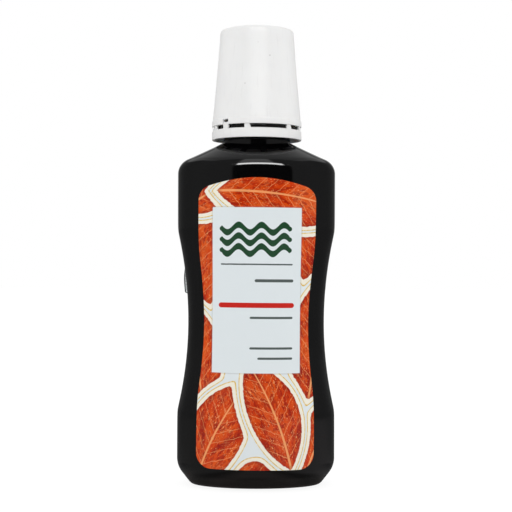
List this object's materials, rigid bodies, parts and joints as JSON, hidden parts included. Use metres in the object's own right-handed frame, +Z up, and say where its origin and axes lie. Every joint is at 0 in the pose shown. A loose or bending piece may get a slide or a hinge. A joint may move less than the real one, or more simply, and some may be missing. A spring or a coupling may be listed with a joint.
{
  "type": "mouthwash bottle",
  "caption": "Waisted oval bottle filled with mouthwash, with front and back labels and a tall dosing cap that unscrews from a tamper band on the neck.",
  "frame": {"origin": "middle of the base, on the surface the bottle stands on", "axes": "+Z up along the neck and the cap, -Y out of the front label, +X to the right as seen from the front"},
  "size_m": [0.0644, 0.0438, 0.185],
  "materials": {
    "bottle_plastic": "glossy black",
    "mouthwash_liquid": "clear orange liquid",
    "front_label_film": "glossy printed film",
    "back_label_film": "glossy printed film",
    "cap_plastic": "satin white",
    "insert_plastic": "satin white",
    "seal_foam": "soft white foam"
  },
  "bodies": {
    "bottle": {"bottle": "bottle_plastic", "mouthwash": "mouthwash_liquid", "front_label": "front_label_film", "back_label": "back_label_film"},
    "band": {"tamper_band": "cap_plastic"},
    "cap": {"cap_shell": "cap_plastic", "thread_insert": "insert_plastic", "sealing_ring": "seal_foam"}
  },
  "joints": [
    {"name": "cap_turn", "type": "hinge", "parent": "bottle", "child": "band", "pos_m": [0, 0, 0.1421], "axis": [0, 0, 1], "range_deg": [0, 1440]},
    {"name": "cap_rise", "type": "slide", "parent": "band", "child": "cap", "axis": [0, 0, 1], "range_m": [0, 0.01693]}
  ],
  "couplings": [
    {"joint": "cap_rise", "follows": "cap_turn", "m_per_rad": 0.00067322}
  ]
}
